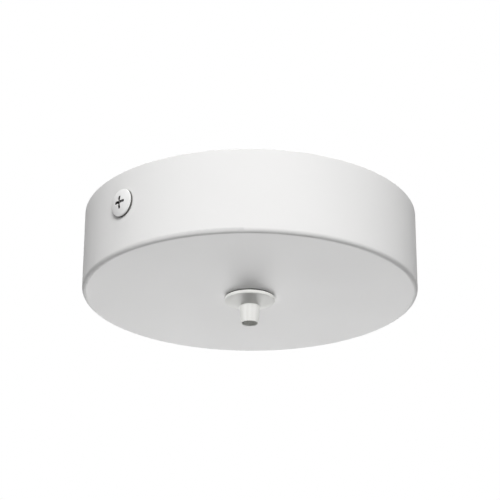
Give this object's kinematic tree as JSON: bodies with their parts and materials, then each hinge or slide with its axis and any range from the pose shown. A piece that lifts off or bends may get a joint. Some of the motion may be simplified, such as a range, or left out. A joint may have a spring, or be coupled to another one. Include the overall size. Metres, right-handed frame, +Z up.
{
  "type": "light fixture ceiling canopy",
  "caption": "Round white steel ceiling canopy for a pendant lamp, held by side screws to a folded bracket, with a tapered cord outlet, terminal block and earth screw.",
  "frame": {"origin": "centre of the ceiling plane: on the canopy's axis, level with the bracket's top face and the cup's rim", "axes": "+Z up into the ceiling; +X along the bracket from the left side screw to the right one; +Y towards the terminal block"},
  "size_m": [0.1032, 0.1, 0.0333],
  "materials": {
    "cup_paint": "matt white powder coat",
    "screw_paint": "white painted steel",
    "dark_fibre": "dark fibre washer",
    "white_nylon": "moulded, satin",
    "dark_rubber": "thin sealing ring",
    "zinc_steel": "bright zinc plated",
    "spring_steel": "hardened",
    "nut_steel": "nickel plated",
    "screw_steel": "zinc plated",
    "earth_brass": "turned",
    "brass_insert": "turned",
    "terminal_plastic": "moulded nylon"
  },
  "bodies": {
    "fixture": {"canopy_cup": "cup_paint", "mounting_bracket": "zinc_steel", "cord_outlet": "white_nylon", "outlet_gasket": "dark_rubber", "outlet_tooth_washer": "spring_steel", "outlet_locknut": "nut_steel", "terminal_block_body": "terminal_plastic", "terminal_insert_1": "brass_insert", "terminal_insert_2": "brass_insert", "terminal_insert_3": "brass_insert", "terminal_fixing_screw_1": "screw_steel", "terminal_fixing_screw_2": "screw_steel"},
    "cord_clamp_nut": {"cord_clamp_nut": "white_nylon"},
    "side_washer_left": {"side_washer_left": "dark_fibre"},
    "side_screw_left": {"side_screw_left": "screw_paint"},
    "side_washer_right": {"side_washer_right": "dark_fibre"},
    "side_screw_right": {"side_screw_right": "screw_paint"},
    "earth_washer": {"earth_washer": "zinc_steel"},
    "earth_screw": {"earth_screw": "earth_brass"},
    "terminal_screw_1": {"terminal_screw_1": "screw_steel"},
    "terminal_screw_2": {"terminal_screw_2": "screw_steel"},
    "terminal_screw_3": {"terminal_screw_3": "screw_steel"},
    "terminal_screw_4": {"terminal_screw_4": "screw_steel"},
    "terminal_screw_5": {"terminal_screw_5": "screw_steel"},
    "terminal_screw_6": {"terminal_screw_6": "screw_steel"}
  },
  "joints": [
    {"name": "side_screw_left_turn", "type": "hinge", "parent": "side_washer_left", "child": "side_screw_left", "pos_m": [-0.0505, 0, -0.01], "axis": [-1, 0, 0], "range_deg": [0, 2702]},
    {"name": "side_screw_left_travel", "type": "slide", "parent": "fixture", "child": "side_washer_left", "axis": [-1, 0, 0], "range_m": [0, 0.00525]},
    {"name": "side_screw_right_turn", "type": "hinge", "parent": "side_washer_right", "child": "side_screw_right", "pos_m": [0.0505, 0, -0.01], "axis": [1, 0, 0], "range_deg": [0, 2702]},
    {"name": "side_screw_right_travel", "type": "slide", "parent": "fixture", "child": "side_washer_right", "axis": [1, 0, 0], "range_m": [0, 0.00525]},
    {"name": "earth_screw_turn", "type": "hinge", "parent": "earth_washer", "child": "earth_screw", "pos_m": [0.016, -0.0095, -0.008], "axis": [0, -1, 0], "range_deg": [0, 2882]},
    {"name": "earth_screw_travel", "type": "slide", "parent": "fixture", "child": "earth_washer", "axis": [0, -1, 0], "range_m": [0, 0.0056]},
    {"name": "terminal_screw_1_travel", "type": "slide", "parent": "fixture", "child": "terminal_screw_1", "axis": [0, 0, 1], "range_m": [0, 0.0024]},
    {"name": "terminal_screw_2_travel", "type": "slide", "parent": "fixture", "child": "terminal_screw_2", "axis": [0, 0, 1], "range_m": [0, 0.0024]},
    {"name": "terminal_screw_3_travel", "type": "slide", "parent": "fixture", "child": "terminal_screw_3", "axis": [0, 0, 1], "range_m": [0, 0.0024]},
    {"name": "terminal_screw_4_travel", "type": "slide", "parent": "fixture", "child": "terminal_screw_4", "axis": [0, 0, 1], "range_m": [0, 0.0024]},
    {"name": "terminal_screw_5_travel", "type": "slide", "parent": "fixture", "child": "terminal_screw_5", "axis": [0, 0, 1], "range_m": [0, 0.0024]},
    {"name": "terminal_screw_6_travel", "type": "slide", "parent": "fixture", "child": "terminal_screw_6", "axis": [0, 0, 1], "range_m": [0, 0.0024]},
    {"name": "cord_clamp_nut_travel", "type": "slide", "parent": "fixture", "child": "cord_clamp_nut", "axis": [0, 0, 1], "range_m": [0, 0.003]}
  ],
  "couplings": [
    {"joint": "side_screw_left_turn", "follows": "side_screw_left_travel", "rad_per_m": 8976},
    {"joint": "side_screw_right_turn", "follows": "side_screw_right_travel", "rad_per_m": 8976},
    {"joint": "earth_screw_turn", "follows": "earth_screw_travel", "rad_per_m": 8976}
  ]
}
